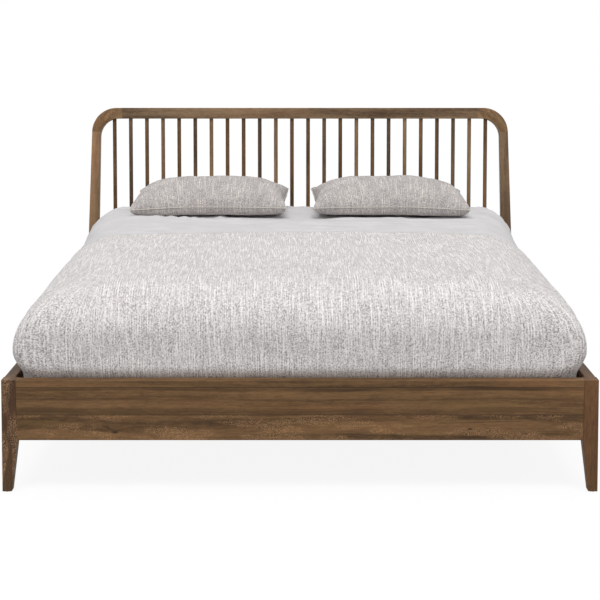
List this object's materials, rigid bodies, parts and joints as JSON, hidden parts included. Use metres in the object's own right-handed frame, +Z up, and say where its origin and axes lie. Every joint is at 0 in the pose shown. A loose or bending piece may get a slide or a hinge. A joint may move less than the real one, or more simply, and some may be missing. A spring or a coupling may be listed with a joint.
{
  "type": "spindle bed",
  "caption": "Low wooden bed with a leaning spindle headboard, rounded headboard corners, tapered legs, slatted base, mattress, coverlet and pillows.",
  "frame": {"origin": "on the floor, under the middle of the bed's bounding box", "axes": "+X across the bed to the right seen from the foot, +Y from the foot end to the headboard, +Z up"},
  "size_m": [1.9068, 2.1758, 1.1137],
  "materials": {
    "rail_wood": "oiled walnut-brown stain",
    "post_wood": "oiled walnut-brown stain, upright grain",
    "corner_wood": "oiled walnut-brown stain",
    "leg_wood": "oiled walnut-brown stain",
    "support_wood": "planed softwood",
    "dowel_wood": "planed beech",
    "plated_steel": "zinc plated",
    "insert_brass": "turned",
    "dark_plastic": "moulded",
    "strap_webbing": "woven webbing",
    "mattress_ticking": "knitted ticking",
    "sheet_cotton": "plain weave",
    "coverlet_weave": "slubbed weave",
    "pillow_weave": "slubbed weave"
  },
  "bodies": {
    "bed_frame": {"beam_hangers": "plated_steel", "centre_beam": "support_wood", "centre_leg_foot": "support_wood", "centre_leg_head": "support_wood", "centre_leg_studs": "plated_steel", "corner_bolts": "plated_steel", "corner_plates": "plated_steel", "foot_leg_left": "leg_wood", "foot_leg_right": "leg_wood", "foot_rail": "rail_wood", "head_rail": "rail_wood", "headboard_corner_left": "corner_wood", "headboard_corner_right": "corner_wood", "headboard_post_left": "post_wood", "headboard_post_right": "post_wood", "headboard_tenons": "dowel_wood", "headboard_top_rail": "rail_wood", "leg_glides": "dark_plastic", "rail_dowels": "dowel_wood", "side_rail_left": "rail_wood", "side_rail_right": "rail_wood", "slat_ledge_left": "support_wood", "slat_ledge_right": "support_wood", "slat_straps": "strap_webbing", "slats": "support_wood", "spindle_01": "rail_wood", "spindle_02": "rail_wood", "spindle_03": "rail_wood", "spindle_04": "rail_wood", "spindle_05": "rail_wood", "spindle_06": "rail_wood", "spindle_07": "rail_wood", "spindle_08": "rail_wood", "spindle_09": "rail_wood", "spindle_10": "rail_wood", "spindle_11": "rail_wood", "spindle_12": "rail_wood", "spindle_13": "rail_wood", "spindle_14": "rail_wood", "spindle_15": "rail_wood", "spindle_16": "rail_wood", "spindle_17": "rail_wood", "spindle_18": "rail_wood", "spindle_19": "rail_wood", "spindle_20": "rail_wood", "spindle_21": "rail_wood", "spindle_22": "rail_wood", "spindle_23": "rail_wood", "spindle_24": "rail_wood", "thread_inserts": "insert_brass"},
    "mattress_set": {"mattress": "mattress_ticking", "fitted_sheet": "sheet_cotton", "coverlet": "coverlet_weave"},
    "pillow_left": {"pillow_left": "pillow_weave"},
    "pillow_right": {"pillow_right": "pillow_weave"},
    "foot_pad": {"leveller_pad_foot": "dark_plastic"},
    "foot_stem": {"leveller_stem_foot": "plated_steel"},
    "head_pad": {"leveller_pad_head": "dark_plastic"},
    "head_stem": {"leveller_stem_head": "plated_steel"}
  },
  "joints": [
    {"name": "mattress_lift", "type": "slide", "parent": "bed_frame", "child": "mattress_set", "axis": [0, 0, 1], "range_m": [0, 0.85]},
    {"name": "pillow_left_lift", "type": "slide", "parent": "mattress_set", "child": "pillow_left", "axis": [0, 0, 1], "range_m": [0, 0.45]},
    {"name": "pillow_right_lift", "type": "slide", "parent": "mattress_set", "child": "pillow_right", "axis": [0, 0, 1], "range_m": [0, 0.45]},
    {"name": "foot_leveller_travel", "type": "slide", "parent": "bed_frame", "child": "foot_pad", "axis": [0, 0, 1], "range_m": [-0.01, 0.008]},
    {"name": "foot_leveller_turn", "type": "hinge", "parent": "foot_pad", "child": "foot_stem", "pos_m": [0, -0.38291, 0.02], "axis": [0, 0, 1], "range_deg": [-2881, 2305]},
    {"name": "head_leveller_travel", "type": "slide", "parent": "bed_frame", "child": "head_pad", "axis": [0, 0, 1], "range_m": [-0.01, 0.008]},
    {"name": "head_leveller_turn", "type": "hinge", "parent": "head_pad", "child": "head_stem", "pos_m": [0, 0.30219, 0.02], "axis": [0, 0, 1], "range_deg": [-2881, 2305]}
  ],
  "couplings": [
    {"joint": "foot_leveller_turn", "follows": "foot_leveller_travel", "rad_per_m": 5026.5},
    {"joint": "head_leveller_turn", "follows": "head_leveller_travel", "rad_per_m": 5026.5}
  ]
}
